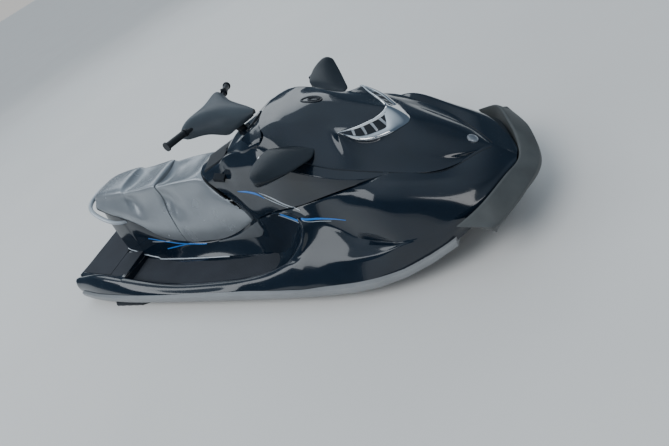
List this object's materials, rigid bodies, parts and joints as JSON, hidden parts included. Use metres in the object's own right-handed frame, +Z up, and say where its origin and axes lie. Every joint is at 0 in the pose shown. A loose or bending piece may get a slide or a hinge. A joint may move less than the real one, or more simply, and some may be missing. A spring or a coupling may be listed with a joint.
{
  "type": "personal watercraft",
  "caption": "Three-seat sit-down watercraft with jet drive, hinged hood with mirrors, handlebar, stepped seat, footwells and stern platform.",
  "frame": {"origin": "amidships on the centreline at the rest waterline", "axes": "+X towards the bow, +Y to port, +Z up"},
  "size_m": [3.22, 1.2166, 1.2352],
  "materials": {
    "gelcoat_hull": "gloss",
    "gelcoat_deck": "gloss",
    "rail": "satin",
    "bumper": "matte",
    "dark_plastic": "matte",
    "dark_glass": "gloss",
    "bright_trim": "polished",
    "satin_metal": "satin",
    "mirror_shell": "matte",
    "mirror_face": "polished",
    "dark_metal": "satin",
    "cowl_grey": "satin",
    "grip": "matte",
    "seat_vinyl": "satin",
    "mat": "matte",
    "stainless": "satin",
    "cast_alloy": "matte",
    "engine_alloy": "matte"
  },
  "bodies": {
    "craft": {"hull": "gelcoat_hull", "deck": "gelcoat_deck", "rub_rail_port": "rail", "rub_rail_starboard": "rail", "bow_bumper": "bumper", "console_cover": "gelcoat_deck", "dash": "dark_plastic", "gauge_glass": "dark_glass", "shift_lever": "dark_plastic", "seat_front": "seat_vinyl", "grab_handle": "stainless", "footwell_mat_port": "mat", "footwell_mat_starboard": "mat", "platform_mat": "mat", "sponson_port": "dark_plastic", "sponson_starboard": "dark_plastic", "intake_grate": "cast_alloy", "ride_plate": "cast_alloy", "pump_housing": "cast_alloy", "bow_eye": "stainless", "stern_eye_port": "stainless", "stern_eye_starboard": "stainless", "engine_block": "engine_alloy"},
    "hood": {"hood": "gelcoat_deck", "hood_trim": "bright_trim", "hood_grille": "dark_plastic", "hood_badge": "satin_metal", "hood_latch": "dark_plastic", "mirror_port": "mirror_shell", "mirror_starboard": "mirror_shell", "mirror_glass_port": "mirror_face", "mirror_glass_starboard": "mirror_face"},
    "steering": {"steering_column": "dark_plastic", "handlebar": "dark_metal", "handlebar_cowl": "cowl_grey", "grip_port": "grip", "grip_starboard": "grip", "throttle_lever": "dark_plastic", "switch_box": "dark_plastic"},
    "glovebox_lid": {"glovebox_lid": "dark_plastic"},
    "seat_rear": {"seat_rear": "seat_vinyl"},
    "impeller": {"impeller": "stainless"},
    "steering_nozzle": {"steering_nozzle": "cast_alloy"},
    "reverse_bucket": {"reverse_bucket": "cast_alloy"}
  },
  "joints": [
    {"name": "steering_turn", "type": "hinge", "parent": "craft", "child": "steering", "pos_m": [0.09, 0, 0.91], "axis": [-0.6428, 0, 0.766], "range_deg": [-30, 10]},
    {"name": "nozzle_turn", "type": "hinge", "parent": "craft", "child": "steering_nozzle", "pos_m": [-1.415, 0, -0.092], "axis": [0, 0, 1], "range_deg": [-8, 24]},
    {"name": "impeller_spin", "type": "hinge", "parent": "craft", "child": "impeller", "pos_m": [-1.09, 0, -0.092], "axis": [1, 0, 0], "continuous": true},
    {"name": "bucket_drop", "type": "hinge", "parent": "craft", "child": "reverse_bucket", "pos_m": [-1.49, 0, -0.092], "axis": [0, -1, 0], "range_deg": [0, 85]},
    {"name": "hood_lift", "type": "hinge", "parent": "craft", "child": "hood", "pos_m": [1.41, 0, 0.4], "axis": [0, 1, 0], "range_deg": [0, 50]},
    {"name": "glovebox_open", "type": "hinge", "parent": "craft", "child": "glovebox_lid", "pos_m": [0.052, 0, 0.73], "axis": [0, 1, 0], "range_deg": [0, 40]},
    {"name": "seat_rear_lift", "type": "slide", "parent": "craft", "child": "seat_rear", "axis": [0, 0, 1], "range_m": [0, 0.25]}
  ],
  "couplings": [
    {"joint": "nozzle_turn", "follows": "steering_turn", "ratio": -0.8}
  ]
}
